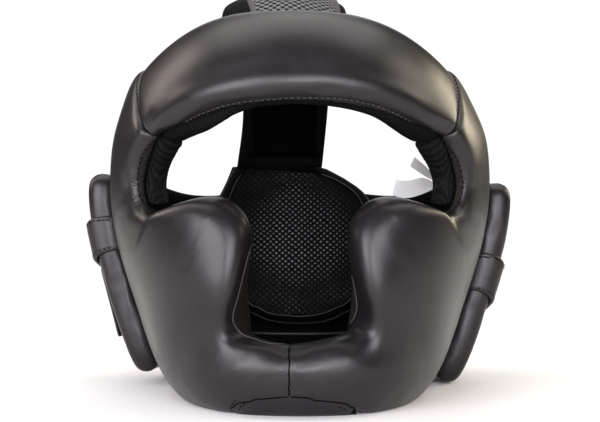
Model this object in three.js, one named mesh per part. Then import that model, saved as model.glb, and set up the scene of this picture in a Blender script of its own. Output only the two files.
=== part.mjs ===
import * as THREE from 'three';

// Full face martial arts head guard. Millimetres, Z up, the face looks along -Y.
// Turn is the angle round the head in degrees: 0 at the face, 90 at the right ear, 180 at the back.

// Driving sizes
const GAP = 0.4;
const LEAN = -2.4; // the top of the guard stands a little to the left
const FLOOR = 0;
const LINING_PAD = 14;
const REAR_EDGE_TURN = 106;
const REAR_PANEL_PAD = 10;
const REAR_PAD = 14;
const REAR_PAD_GAP = 1;
const EAR_PAD = 17.8;
const EAR_GAP = 0.6;
const STRAP_LEATHER = 2.2;
const CHIN_SEAM_X = -5;
const STRAP_PAD = 6;

// Outer surface of the guard: half width at the ears, reach of the face and of the back from the
// line of the ears, and squareness of the plan at each height.
const SECTIONS = [
  { z: -16, half: 58, face: 99, back: 78, square: 2.2 },
  { z: -6, half: 69, face: 109, back: 84, square: 2.25 },
  { z: 4, half: 77, face: 115, back: 88, square: 2.25 },
  { z: 14, half: 83, face: 118, back: 92, square: 2.25 },
  { z: 26, half: 88.5, face: 119.5, back: 96, square: 2.25 },
  { z: 45, half: 95, face: 119, back: 101, square: 2.25 },
  { z: 65, half: 101.5, face: 117.5, back: 107, square: 2.25 },
  { z: 86, half: 107.5, face: 117, back: 112, square: 2.2 },
  { z: 106, half: 111, face: 117.5, back: 115.5, square: 2.2 },
  { z: 122, half: 112, face: 118.5, back: 117, square: 2.2 },
  { z: 136, half: 111.5, face: 120, back: 117, square: 2.2 },
  { z: 150, half: 109.5, face: 121.5, back: 115, square: 2.2 },
  { z: 162, half: 105.2, face: 122, back: 112, square: 2.2 },
  { z: 172, half: 101.2, face: 121, back: 108, square: 2.2 },
  { z: 185, half: 95, face: 118, back: 101, square: 2.15 },
  { z: 200, half: 84.5, face: 109.5, back: 90, square: 2.1 },
  { z: 212, half: 73, face: 97, back: 77, square: 2.1 },
  { z: 224, half: 56, face: 79, back: 58, square: 2.0 },
];

// Soft swellings and dents of the surface, alike on both sides.
const SWELLINGS = [
  { name: 'cheek', turn: 27, z: 80, wide: 19, tall: 28, rise: 5 },
  { name: 'cheek crease', turn: 29, z: 41, wide: 9, tall: 8, rise: -3.2 },
  { name: 'chin bar', turn: 12, z: 22, wide: 20, tall: 15, rise: 2.5 },
  { name: 'jaw hollow', turn: 62, z: 50, wide: 16, tall: 26, rise: -1.8 },
];

const COLOURS = {
  leather: { color: 0x2c2a2f, roughness: 0.45 },
  lining: { color: 0x101012, roughness: 0.9 },
  mesh: { color: 0x141416, roughness: 0.7 },
  label: { color: 0xd9dade, roughness: 0.8 },
};

const rad = THREE.MathUtils.degToRad;
const mix = THREE.MathUtils.lerp;

// Smooth value of one column of a table at a height.
function columnAt(table, key, column, value) {
  const last = table.length - 1;
  const v = THREE.MathUtils.clamp(value, table[0][key], table[last][key]);
  let i = 0;
  while (i < last - 1 && v > table[i + 1][key]) {
    i += 1;
  }
  const slope = (k) => {
    const lo = table[Math.max(k - 1, 0)];
    const hi = table[Math.min(k + 1, last)];
    return (hi[column] - lo[column]) / (hi[key] - lo[key]);
  };
  const span = table[i + 1][key] - table[i][key];
  const t = (v - table[i][key]) / span;
  const t2 = t * t;
  const t3 = t2 * t;
  const start = (2 * t3 - 3 * t2 + 1) * table[i][column] + (t3 - 2 * t2 + t) * span * slope(i);
  return start + (3 * t2 - 2 * t3) * table[i + 1][column] + (t3 - t2) * span * slope(i + 1);
}

// Slope between two steps of a column that never overshoots the rows.
function steady(before, after) {
  if (before * after <= 0) {
    return 0;
  }
  const most = 3 * Math.min(Math.abs(before), Math.abs(after));
  return THREE.MathUtils.clamp((before + after) / 2, -most, most);
}

// Smooth row of a table between its rows, the place counted in rows.
function rowAt(rows, place) {
  const last = rows.length - 1;
  const i = Math.min(Math.floor(place), last - 1);
  const t = place - i;
  const row = {};
  for (const key of Object.keys(rows[0])) {
    const p1 = rows[i][key];
    const p2 = rows[i + 1][key];
    const p0 = i > 0 ? rows[i - 1][key] : 2 * p1 - p2;
    const p3 = i < last - 1 ? rows[i + 2][key] : 2 * p2 - p1;
    const m1 = steady(p1 - p0, p2 - p1);
    const m2 = steady(p2 - p1, p3 - p2);
    const c3 = 2 * p1 - 2 * p2 + m1 + m2;
    const c2 = 3 * p2 - 3 * p1 - 2 * m1 - m2;
    row[key] = ((c3 * t + c2) * t + m1) * t + p1;
  }
  return row;
}

// Point of the outer surface.
function skinPoint(turn, z) {
  const half = columnAt(SECTIONS, 'z', 'half', z);
  const front = Math.abs(turn) <= 90;
  const reach = columnAt(SECTIONS, 'z', front ? 'face' : 'back', z);
  const power = columnAt(SECTIONS, 'z', 'square', z);
  const s = Math.sin(rad(turn));
  const c = Math.cos(rad(turn));
  let r = ((Math.abs(s) / half) ** power + (Math.abs(c) / reach) ** power) ** (-1 / power);
  for (const b of SWELLINGS) {
    const across = (Math.abs(turn) - b.turn) / b.wide;
    const up = (z - b.z) / b.tall;
    r += b.rise * Math.exp(-across * across - up * up);
  }
  return new THREE.Vector3(r * s + LEAN * THREE.MathUtils.smoothstep(z, 145, 190), -r * c, z);
}

// Point under the outer surface, the depth measured square to it.
function shellPoint(turn, z, depth) {
  const step = 0.4;
  const along = skinPoint(turn + step, z).sub(skinPoint(turn - step, z));
  const up = skinPoint(turn, z + step).sub(skinPoint(turn, z - step));
  const normal = along.cross(up).normalize();
  return skinPoint(turn, z).addScaledVector(normal, -depth);
}

// Turn and height of the surface whose point at a depth lies at a front view place x, z.
function placeUnder(x, z, depth, rear) {
  let turn = rear ? 180 - THREE.MathUtils.radToDeg(Math.asin(x / 118)) : (x / 118) * 60;
  let height = z;
  for (let k = 0; k < 60; k += 1) {
    const p = shellPoint(turn, height, depth);
    turn += ((x - p.x) * (rear ? -1 : 1)) / 2.4;
    height += (z - p.z) * 0.7;
  }
  return { turn, z: height };
}

// Distances along a line with close steps in its rounded ends.
function stops(length, roundStart, roundEnd, inner, turns) {
  const list = [];
  const fit = Math.min(1, length / (roundStart + roundEnd + 0.5));
  const r0 = roundStart * fit;
  const r1 = roundEnd * fit;
  for (let k = 0; k < turns && r0 > 0; k += 1) {
    list.push(r0 * (1 - Math.cos(((k / turns) * Math.PI) / 2)));
  }
  for (let k = 0; k <= inner; k += 1) {
    list.push(mix(r0, length - r1, k / inner));
  }
  for (let k = turns - 1; k >= 0 && r1 > 0; k -= 1) {
    list.push(length - r1 * (1 - Math.cos(((k / turns) * Math.PI) / 2)));
  }
  return list;
}

function roundShare(distance, radius) {
  const q = 1 - Math.min(distance / Math.max(radius, 1e-6), 1);
  return Math.sqrt(Math.max(0, 1 - q * q));
}

// Closed solid from a front and a back grid of points that share the vertices of closed edges.
function closedSolid(outer, inner, sharedEdge) {
  const points = [];
  const add = (p) => points.push(p.x, p.y, Math.max(p.z, FLOOR)) / 3 - 1;
  const rows = outer.length;
  const cols = outer[0].length;
  const o = outer.map((line) => line.map(add));
  const n = inner.map((line, i) => line.map((p, j) => (sharedEdge(i, j) ? o[i][j] : add(p))));
  const tris = [];
  const quad = (a, b, c, d) => {
    for (const t of [[a, b, c], [a, c, d]]) {
      if (t[0] !== t[1] && t[1] !== t[2] && t[2] !== t[0]) {
        tris.push(...t);
      }
    }
  };
  for (let i = 0; i < rows - 1; i += 1) {
    for (let j = 0; j < cols - 1; j += 1) {
      quad(o[i][j], o[i + 1][j], o[i + 1][j + 1], o[i][j + 1]);
      quad(n[i][j], n[i][j + 1], n[i + 1][j + 1], n[i + 1][j]);
    }
    quad(o[i][0], n[i][0], n[i + 1][0], o[i + 1][0]);
    quad(o[i][cols - 1], o[i + 1][cols - 1], n[i + 1][cols - 1], n[i][cols - 1]);
  }
  for (let j = 0; j < cols - 1; j += 1) {
    quad(o[0][j], o[0][j + 1], n[0][j + 1], n[0][j]);
    quad(o[rows - 1][j], n[rows - 1][j], n[rows - 1][j + 1], o[rows - 1][j + 1]);
  }
  let volume = 0;
  const at = (k) => new THREE.Vector3().fromArray(points, 3 * k);
  for (let k = 0; k < tris.length; k += 3) {
    volume += at(tris[k]).dot(at(tris[k + 1]).cross(at(tris[k + 2])));
  }
  if (volume < 0) {
    tris.reverse();
  }
  const geometry = new THREE.BufferGeometry();
  geometry.setAttribute('position', new THREE.Float32BufferAttribute(points, 3));
  geometry.setIndex(tris);
  return geometry;
}

// Padded panel on a surface. Each row of its table gives edge A and edge B of the panel as surface
// places (a0, a1) and (b0, b1), and for both edges the depth where the panel starts, its thickness,
// the radius of the rounded edge and the share of the thickness at which the edge closes (roll).
// The start and the end of the panel are rounded over a length down to a share of the thickness.
function paddedPanel(surface, rows, { along, across, turns = 3, start, end, shape }) {
  const last = rows.length - 1;
  const middle = (place) => {
    const r = rowAt(rows, place);
    const depth = mix(r.depthA, r.depthB, 0.5);
    return surface(mix(r.a0, r.b0, 0.5), mix(r.a1, r.b1, 0.5), depth);
  };
  const fine = 24 * last;
  const lengths = [0];
  for (let k = 1; k <= fine; k += 1) {
    const step = middle((k / fine) * last).distanceTo(middle(((k - 1) / fine) * last));
    lengths.push(lengths[k - 1] + step);
  }
  const total = lengths[fine];
  const placeAt = (s) => {
    let k = 1;
    while (k < fine && lengths[k] < s) {
      k += 1;
    }
    const t = (s - lengths[k - 1]) / (lengths[k] - lengths[k - 1]);
    return ((k - 1 + THREE.MathUtils.clamp(t, 0, 1)) / fine) * last;
  };
  const outer = [];
  const inner = [];
  for (const s of stops(total, start.round, end.round, along, turns)) {
    const place = placeAt(s);
    const r = rowAt(rows, place);
    const spot = (v, depth) => surface(mix(r.a0, r.b0, v), mix(r.a1, r.b1, v), depth);
    let width = 0;
    for (let k = 0; k < 12; k += 1) {
      width += spot(k / 12, r.depthA).distanceTo(spot((k + 1) / 12, r.depthA));
    }
    const rise0 = start.share + (1 - start.share) * roundShare(s, start.round);
    const rise1 = end.share + (1 - end.share) * roundShare(total - s, end.round);
    const fit = Math.min(1, width / (r.roundA + r.roundB + 0.5));
    const front = [];
    const back = [];
    for (const d of stops(width, r.roundA, r.roundB, across, turns)) {
      const v = d / width;
      const full = roundShare(d, r.roundA * fit) * roundShare(width - d, r.roundB * fit) * rise0 * rise1;
      const extra = shape ? shape(place / last, v) : { front: 0, back: 0 };
      const thick = mix(r.thickA, r.thickB, v);
      const depth = mix(r.depthA, r.depthB, v);
      const roll = mix(r.rollA, r.rollB, v);
      front.push(spot(v, depth + thick * roll * (1 - full) - extra.front * full));
      back.push(spot(v, depth + thick - thick * (1 - roll) * (1 - full) + extra.back * full));
    }
    outer.push(front);
    inner.push(back);
  }
  const lastRow = outer.length - 1;
  const lastCol = outer[0].length - 1;
  const shared = (i, j) => {
    const side = (j === 0 && rows[0].roundA > 0) || (j === lastCol && rows[0].roundB > 0);
    return side || (i === 0 && start.share === 0) || (i === lastRow && end.share === 0);
  };
  return closedSolid(outer, inner, shared);
}

const group = new THREE.Group();
group.name = 'martial_arts_head_guard';

function addPiece(name, geometry, look) {
  const material = new THREE.MeshStandardMaterial({ ...COLOURS[look], metalness: 0 });
  const mesh = new THREE.Mesh(geometry, material);
  mesh.name = name;
  group.add(mesh);
}

// Brow pad: share of the half width, lower edge in the front view and height of the arched top edge,
// with what the left side rises above the right.
const BROW = [
  { share: 0, low_z: 164.5, high_z: 219.5, left_rise: 0 },
  { share: 0.25, low_z: 163, high_z: 218.8, left_rise: 0.6 },
  { share: 0.48, low_z: 159.8, high_z: 215.2, left_rise: 1.6 },
  { share: 0.7, low_z: 154.4, high_z: 207, left_rise: 2 },
  { share: 0.86, low_z: 150.5, high_z: 197.8, left_rise: 1.4 },
  { share: 1, low_z: 147, high_z: 189, left_rise: 0 },
];
const BROW_LOW_TURN = 45;
const BROW_HIGH_TURN = 61.5;
const BROW_LOW_PAD = 9;
const BROW_HIGH_PAD = 22;

const browSide = BROW.slice(1)
  .map((r) => ({ ...r, share: -r.share, high_z: r.high_z + r.left_rise }))
  .reverse();
const browRows = [...browSide, ...BROW].map((r) => ({
  a0: BROW_LOW_TURN * r.share,
  a1: r.low_z,
  b0: BROW_HIGH_TURN * r.share,
  b1: r.high_z,
  depthA: 0,
  depthB: 0,
  thickA: BROW_LOW_PAD,
  thickB: BROW_HIGH_PAD,
  roundA: 9,
  roundB: 12,
  rollA: 0.9,
  rollB: 0.6,
}));
const seamEnd = { round: 5, share: 0.62 };
addPiece(
  'brow_pad',
  paddedPanel(shellPoint, browRows, { along: 16, across: 5, start: seamEnd, end: seamEnd }),
  'leather',
);

// Lining behind the lower part of the brow pad.
const BROW_LINING_SHARE = 0.6;
const browLiningRows = browRows.map((r) => ({
  ...r,
  a0: r.a0 * 0.98,
  b0: mix(r.a0, r.b0, BROW_LINING_SHARE) * 0.98,
  a1: r.a1 - 1.5,
  b1: mix(r.a1, r.b1, BROW_LINING_SHARE),
  depthA: r.thickA + GAP,
  depthB: mix(r.thickA, r.thickB, BROW_LINING_SHARE) + GAP,
  thickA: LINING_PAD,
  thickB: 8,
  roundA: 4,
  roundB: 4,
  rollA: 0.4,
  rollB: 0.4,
}));
const plainEnd = { round: 2, share: 0.8 };
addPiece(
  'brow_lining',
  paddedPanel(shellPoint, browLiningRows, {
    along: 18,
    across: 3,
    turns: 2,
    start: plainEnd,
    end: plainEnd,
  }),
  'lining',
);

// Side shell, from the brow seam down the temple, round the cheek and along the chin bar to the
// centre seam: edge of the face opening in the front view (half width and height) with the depth
// at which it closes, and outer rim (turn and height), with the padding at both and
// the radius of the rim.
const SIDE = [
  { open_x: 76.5, open_z: 147, rim_turn: 61.5, rim_z: 189, pad: 10, rim_pad: 12, rim_round: 7, round: 8, roll: 0.9 },
  { open_x: 81, open_z: 138.5, rim_turn: 76.5, rim_z: 183, pad: 10, rim_pad: 12, rim_round: 7, round: 8, roll: 0.9 },
  { open_x: 84.5, open_z: 129, rim_turn: 91.5, rim_z: 170, pad: 10, rim_pad: 12, rim_round: 7, round: 8, roll: 0.9 },
  { open_x: 85.5, open_z: 119, rim_turn: 103.5, rim_z: 148, pad: 10, rim_pad: 12, rim_round: 7, round: 8, roll: 0.9 },
  { open_x: 83, open_z: 109.5, rim_turn: 106, rim_z: 118, pad: 10, rim_pad: 12, rim_round: 7, round: 8, roll: 0.9 },
  { open_x: 76, open_z: 104, rim_turn: 106, rim_z: 86, pad: 13, rim_pad: 14, rim_round: 7, round: 9, roll: 0.8 },
  { open_x: 66, open_z: 108, rim_turn: 106, rim_z: 50, pad: 24, rim_pad: 16, rim_round: 7, round: 12, roll: 0.6 },
  { open_x: 57.5, open_z: 112, rim_turn: 106, rim_z: 12, pad: 31, rim_pad: 16, rim_round: 7, round: 15, roll: 0.5 },
  { open_x: 47, open_z: 114.5, rim_turn: 92, rim_z: -6, pad: 35, rim_pad: 16, rim_round: 7, round: 17, roll: 0.48 },
  { open_x: 36, open_z: 112, rim_turn: 75, rim_z: -7, pad: 36, rim_pad: 16, rim_round: 7, round: 18, roll: 0.48 },
  { open_x: 28, open_z: 104, rim_turn: 64, rim_z: -7, pad: 36, rim_pad: 17, rim_round: 7, round: 18, roll: 0.48 },
  { open_x: 24.8, open_z: 94, rim_turn: 55, rim_z: -7, pad: 36, rim_pad: 18, rim_round: 7, round: 18, roll: 0.48 },
  { open_x: 25.8, open_z: 83.5, rim_turn: 48, rim_z: -7, pad: 36, rim_pad: 19, rim_round: 7, round: 18, roll: 0.48 },
  { open_x: 29, open_z: 73, rim_turn: 42, rim_z: -7, pad: 35, rim_pad: 20, rim_round: 7, round: 17, roll: 0.48 },
  { open_x: 31.5, open_z: 63, rim_turn: 36.5, rim_z: -7, pad: 34, rim_pad: 20, rim_round: 7, round: 16, roll: 0.48 },
  { open_x: 32.8, open_z: 55, rim_turn: 31.5, rim_z: -7, pad: 33, rim_pad: 20, rim_round: 7, round: 14, roll: 0.5 },
  { open_x: 31.5, open_z: 48, rim_turn: 26, rim_z: -7, pad: 31, rim_pad: 20, rim_round: 6, round: 13, roll: 0.55 },
  { open_x: 25.5, open_z: 43, rim_turn: 20.5, rim_z: -5.5, pad: 30, rim_pad: 20, rim_round: 4.5, round: 13, roll: 0.6 },
  { open_x: 16, open_z: 39.6, rim_turn: 15.5, rim_z: 4, pad: 30, rim_pad: 20, rim_round: 2.6, round: 13, roll: 0.6 },
  { open_x: 6, open_z: 37.6, rim_turn: 7.5, rim_z: 8, pad: 30, rim_pad: 20, rim_round: 2.2, round: 13, roll: 0.6 },
  { open_x: 0, open_z: 37, rim_turn: 0, rim_z: 9, pad: 30, rim_pad: 20, rim_round: 2.2, round: 13, roll: 0.6 },
];

// The chin seam sits to one side of the middle, so the chin rows shift towards it.
function chinShift(row) {
  return CHIN_SEAM_X * THREE.MathUtils.smoothstep(40 - row.open_x, 0, 40);
}

function sideRows(side) {
  const rows = SIDE.map((r) => {
    const low = r.open_z < 50;
    const shift = low ? chinShift(r) : 0;
    const depth = r.pad * r.roll;
    const place = placeUnder(side * r.open_x + shift, r.open_z, depth, false);
    const rimShift = low ? (shift / 112) * (180 / Math.PI) : 0;
    return {
      a0: place.turn,
      a1: place.z,
      b0: side * r.rim_turn + rimShift,
      b1: r.rim_z,
      depthA: 0,
      depthB: 0,
      thickA: r.pad,
      thickB: r.rim_pad,
      roundA: r.round,
      roundB: r.rim_round,
      rollA: r.roll,
      rollB: 0.5,
    };
  });
  const browGap = 0.3 * side;
  rows[0].a0 = side * BROW_LOW_TURN + browGap;
  rows[0].a1 = BROW[BROW.length - 1].low_z;
  rows[0].b0 += browGap;
  const seam = rows[rows.length - 1];
  const seamTurn = (CHIN_SEAM_X / 112) * (180 / Math.PI) + side * 0.12;
  seam.a0 = seamTurn;
  seam.b0 = seamTurn;
  return rows;
}

const chinEnd = { round: 3, share: 0.94 };
for (const [label, side] of [['left', -1], ['right', 1]]) {
  const rows = sideRows(side);
  addPiece(
    `side_shell_${label}`,
    paddedPanel(shellPoint, rows, { along: 36, across: 6, start: seamEnd, end: chinEnd }),
    'leather',
  );

  // Lining inside the temple, a little proud of the leather edge of the eye opening.
  const LINING_REACH = 0.86;
  const liningRows = rows.slice(0, 5).map((r, i) => ({
    ...r,
    a0: r.a0 + side * (i === 0 ? 0.6 : -0.6),
    b0: mix(r.a0, r.b0, LINING_REACH) + side * (i === 0 ? 0.6 : 0),
    b1: mix(r.a1, r.b1, LINING_REACH),
    depthA: r.thickA + GAP,
    depthB: mix(r.thickA, r.thickB, LINING_REACH) + GAP,
    thickA: LINING_PAD,
    thickB: 9,
    roundA: 4,
    roundB: 4,
    rollA: 0.4,
    rollB: 0.4,
  }));
  addPiece(
    `side_lining_${label}`,
    paddedPanel(shellPoint, liningRows, {
      along: 9,
      across: 4,
      turns: 2,
      start: plainEnd,
      end: plainEnd,
    }),
    'lining',
  );
}

// Gusset under the chin bar: front view place of its top edge.
const GUSSET = [
  { x: -37, top_z: 0 },
  { x: -30, top_z: 2.7 },
  { x: -22, top_z: 5.2 },
  { x: -13, top_z: 6.8 },
  { x: -4, top_z: 7.9 },
  { x: 7, top_z: 7.2 },
  { x: 17, top_z: 5.5 },
  { x: 25, top_z: 2.8 },
  { x: 32, top_z: 0.1 },
];
const gussetRows = GUSSET.map((r) => {
  const turn = (r.x / 110) * (180 / Math.PI);
  return {
    a0: turn,
    a1: r.top_z - 0.7,
    b0: turn,
    b1: -7,
    depthA: 0.8,
    depthB: 0.8,
    thickA: 14,
    thickB: 14,
    roundA: 1.4,
    roundB: 2,
    rollA: 0.3,
    rollB: 0.5,
  };
});
const lensEnd = { round: 5, share: 0.3 };

addPiece(
  'chin_gusset',
  paddedPanel(shellPoint, gussetRows, {
    along: 10,
    across: 3,
    turns: 2,
    start: lensEnd,
    end: lensEnd,
  }),
  'leather',
);

// Rear panel round the back from ear to ear: height of its top edge.
const REAR_TOP = [
  { turn: REAR_EDGE_TURN + 0.3, top_z: 125.5 },
  { turn: 116, top_z: 124.5 },
  { turn: 126, top_z: 121.5 },
  { turn: 137, top_z: 116 },
  { turn: 150, top_z: 115 },
  { turn: 163, top_z: 118 },
  { turn: 180, top_z: 121.5 },
];
const rearHalf = REAR_TOP.slice(0, -1).map((r) => ({ ...r, turn: 360 - r.turn })).reverse();
const rearRows = [...REAR_TOP, ...rearHalf].map((r) => ({
  a0: r.turn,
  a1: r.top_z,
  b0: r.turn,
  b1: -6,
  depthA: 0,
  depthB: 0,
  thickA: REAR_PANEL_PAD,
  thickB: REAR_PANEL_PAD,
  roundA: 5,
  roundB: 5,
  rollA: 0.5,
  rollB: 0.5,
}));
addPiece(
  'rear_panel',
  paddedPanel(shellPoint, rearRows, {
    along: 20,
    across: 4,
    turns: 2,
    start: plainEnd,
    end: plainEnd,
  }),
  'leather',
);

// Rear pad inside the rear panel, with its neck up to the crown strap: both edges in the front view.
const REAR_PAD_EDGES = [
  { z: 134, left_x: -42, right_x: 14 },
  { z: 126, left_x: -45, right_x: 28 },
  { z: 117, left_x: -49, right_x: 41 },
  { z: 106, left_x: -54, right_x: 48 },
  { z: 92, left_x: -57, right_x: 53 },
  { z: 76, left_x: -56, right_x: 53 },
  { z: 60, left_x: -49, right_x: 47 },
  { z: 46, left_x: -38, right_x: 37 },
  { z: 36.5, left_x: -24, right_x: 23 },
  { z: 33, left_x: -11, right_x: 11 },
];
const rearPadRows = REAR_PAD_EDGES.map((r) => {
  const left = placeUnder(r.left_x, r.z, REAR_PANEL_PAD + REAR_PAD, true);
  const right = placeUnder(r.right_x, r.z, REAR_PANEL_PAD + REAR_PAD, true);
  return {
    a0: left.turn,
    a1: left.z,
    b0: right.turn,
    b1: right.z,
    depthA: REAR_PANEL_PAD + REAR_PAD_GAP,
    depthB: REAR_PANEL_PAD + REAR_PAD_GAP,
    thickA: REAR_PAD,
    thickB: REAR_PAD,
    roundA: 9,
    roundB: 9,
    rollA: 0.4,
    rollB: 0.4,
  };
});
addPiece(
  'rear_pad',
  paddedPanel(shellPoint, rearPadRows, {
    along: 12,
    across: 6,
    start: { round: 3, share: 0.5 },
    end: { round: 6, share: 0.3 },
  }),
  'mesh',
);

// Crown strap: side view path from inside the brow over the crown to the neck of the rear pad,
// with its width at each place.
const STRAP_PATH = [
  { y: -76, z: 197, wide: 70, shift: -9 },
  { y: -69, z: 209, wide: 71, shift: -9 },
  { y: -54, z: 223, wide: 72, shift: -9 },
  { y: -30, z: 234, wide: 72, shift: -9 },
  { y: 2, z: 238.5, wide: 70, shift: -9 },
  { y: 36, z: 233, wide: 66, shift: -9 },
  { y: 64, z: 216, wide: 62, shift: -9 },
  { y: 83, z: 192, wide: 58, shift: -9 },
  { y: 92, z: 165, wide: 56, shift: -10 },
  { y: 95.5, z: 135.2, wide: 57, shift: -13.5 },
];
const STRAP_CROSS_RADIUS = 62;
const strapCurve = new THREE.CatmullRomCurve3(
  STRAP_PATH.map((r) => new THREE.Vector3(r.shift, r.y, r.z)),
  false,
  'centripetal',
);
function strapPoint(x, place, depth) {
  const t = THREE.MathUtils.clamp(place / (STRAP_PATH.length - 1), 0, 1);
  const tangent = strapCurve.getTangent(t);
  const outward = new THREE.Vector3(0, -tangent.z, tangent.y);
  const sag = (x * x) / (2 * STRAP_CROSS_RADIUS);
  const p = strapCurve.getPoint(t).addScaledVector(outward, -depth - sag);
  p.x += x;
  return p;
}
const strapRows = STRAP_PATH.map((r, i) => ({
  a0: -r.wide / 2,
  a1: i,
  b0: r.wide / 2,
  b1: i,
  depthA: 0,
  depthB: 0,
  thickA: STRAP_PAD,
  thickB: STRAP_PAD,
  roundA: 3,
  roundB: 3,
  rollA: 0.5,
  rollB: 0.5,
}));
addPiece(
  'crown_strap',
  paddedPanel(strapPoint, strapRows, {
    along: 19,
    across: 4,
    turns: 2,
    start: plainEnd,
    end: plainEnd,
  }),
  'mesh',
);

// Ear pads outside the shell: turn of the front and rear edge at each height, top to bottom.
const EAR_EDGES = [
  { z: 125, front_turn: 97, rear_turn: 124 },
  { z: 118, front_turn: 94.5, rear_turn: 128 },
  { z: 100, front_turn: 94, rear_turn: 130 },
  { z: 75, front_turn: 94, rear_turn: 130 },
  { z: 45, front_turn: 94, rear_turn: 129 },
  { z: 20, front_turn: 94.5, rear_turn: 126 },
  { z: 10, front_turn: 97, rear_turn: 122 },
];
const EAR_ROUND = 6;
const EAR_PLACES = {
  left: { lift: 3, band_z: 90.3, band_slope: -11, band_wide: 20.5 },
  right: { lift: -2.5, band_z: 66.5, band_slope: -15, band_wide: 22.5 },
};

function earRows(side, lift) {
  return EAR_EDGES.map((r) => ({
    a0: side * r.front_turn,
    a1: r.z + lift,
    b0: side * r.rear_turn,
    b1: r.z + lift,
    depthA: -EAR_PAD - EAR_GAP,
    depthB: -EAR_PAD - EAR_GAP,
    thickA: EAR_PAD,
    thickB: EAR_PAD,
    roundA: EAR_ROUND,
    roundB: EAR_ROUND,
    rollA: 0.5,
    rollB: 0.6,
  }));
}

// Band round the front edge of an ear pad: cross places run from the inner side of the pad edge
// round its front and back along its outer face.
function bandGeometry(side, place) {
  const frontTurn = 94;
  const reach = 34;
  const outer = [];
  const inner = [];
  const perMm = (z) => 180 / Math.PI / shellPoint(side * 96, z, -EAR_PAD / 2).length();
  const line = [];
  for (let k = 0; k <= 7; k += 1) {
    line.push({ bend: mix(-50, 90, k / 7), back: 0 });
  }
  for (let k = 1; k <= 5; k += 1) {
    line.push({ bend: 90, back: (reach * k) / 5 });
  }
  for (const spot of line) {
    const at = (up, over) => {
      const lean = place.band_slope * (spot.back / reach - 0.3 * Math.cos(rad(spot.bend)));
      const z = place.band_z + lean + up * place.band_wide;
      const swing = EAR_PAD / 2 + over;
      const along = EAR_ROUND - (EAR_ROUND + over) * Math.cos(rad(spot.bend)) + spot.back;
      const depth = -EAR_GAP - EAR_PAD / 2 - swing * Math.sin(rad(spot.bend));
      return shellPoint(side * (frontTurn + along * perMm(z)), z, depth);
    };
    const ups = [-0.5, -0.46, -0.2, 0.2, 0.46, 0.5];
    const crown = [0.6, 1, 1, 1, 1, 0.6];
    outer.push(ups.map((up, k) => at(up, EAR_GAP + STRAP_LEATHER * crown[k])));
    inner.push(ups.map((up) => at(up, EAR_GAP)));
  }
  return closedSolid(outer, inner, () => false);
}

for (const [label, side] of [['left', -1], ['right', 1]]) {
  const place = EAR_PLACES[label];
  addPiece(
    `ear_pad_${label}`,
    paddedPanel(shellPoint, earRows(side, place.lift), {
      along: 11,
      across: 4,
      start: { round: 8, share: 0.15 },
      end: { round: 8, share: 0.15 },
    }),
    'leather',
  );
  addPiece(`side_strap_${label}`, bandGeometry(side, place), 'leather');
}

// Free tail of the left strap, below the band on the outer face of the ear pad.
const TAIL = [
  { z: 76.2, front_turn: 101, drop: 8.4, lift: 0 },
  { z: 62, front_turn: 101.5, drop: 6, lift: 0.6 },
  { z: 48, front_turn: 102, drop: 3, lift: 1.6 },
  { z: 35, front_turn: 103, drop: 1, lift: 3 },
];
const TAIL_WIDE_TURN = 11;
const tailRows = TAIL.map((r) => ({
  a0: -r.front_turn,
  a1: r.z,
  b0: -r.front_turn - TAIL_WIDE_TURN,
  b1: r.z - r.drop,
  depthA: -EAR_PAD - EAR_GAP - GAP - STRAP_LEATHER - r.lift,
  depthB: -EAR_PAD - EAR_GAP - GAP - STRAP_LEATHER - r.lift,
  thickA: STRAP_LEATHER,
  thickB: STRAP_LEATHER,
  roundA: 1,
  roundB: 1,
  rollA: 0.5,
  rollB: 0.5,
}));
addPiece(
  'strap_tail_left',
  paddedPanel(shellPoint, tailRows, {
    along: 6,
    across: 3,
    turns: 1,
    start: { round: 1, share: 0.6 },
    end: { round: 1, share: 0.6 },
  }),
  'leather',
);

// Care label: a blank ribbon folded at its root, two flaps in the right eye corner.
const LABEL_PATH = [
  { x: 67, y: 2, z: 137 },
  { x: 73, y: 3, z: 130 },
  { x: 81, y: 5, z: 125 },
  { x: 88, y: 6, z: 122.6 },
  { x: 89, y: 6, z: 121.2 },
  { x: 87.8, y: 5.4, z: 119.8 },
  { x: 80, y: 2, z: 118.4 },
  { x: 69, y: -2, z: 116.6 },
  { x: 56, y: -6, z: 114 },
];
const LABEL_WIDE = 12;
const LABEL_THICK = 0.7;
const labelCurve = new THREE.CatmullRomCurve3(
  LABEL_PATH.map((r) => new THREE.Vector3(r.x, r.y, r.z)),
  false,
  'centripetal',
);
const labelLean = new THREE.Vector3(0.15, 0.8, 0.58).normalize();
function labelPoint(across, place, depth) {
  const t = THREE.MathUtils.clamp(place, 0, 1);
  const normal = labelCurve.getTangent(t).cross(labelLean).normalize();
  return labelCurve.getPoint(t).addScaledVector(labelLean, across).addScaledVector(normal, depth);
}
const labelFront = [];
const labelBack = [];
const LABEL_STEPS = 16;
for (let k = 0; k <= LABEL_STEPS; k += 1) {
  const t = k / LABEL_STEPS;
  labelFront.push([-0.5, 0, 0.5].map((s) => labelPoint(s * LABEL_WIDE, t, -LABEL_THICK / 2)));
  labelBack.push([-0.5, 0, 0.5].map((s) => labelPoint(s * LABEL_WIDE, t, LABEL_THICK / 2)));
}
addPiece('care_label', closedSolid(labelFront, labelBack, () => false), 'label');

// Stand the guard on the floor with the middle of its box over the origin.
const box = new THREE.Box3().setFromObject(group);
const middle = box.getCenter(new THREE.Vector3());
for (const mesh of group.children) {
  mesh.geometry.translate(-middle.x, -middle.y, -box.min.z);
}

export default group;
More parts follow.
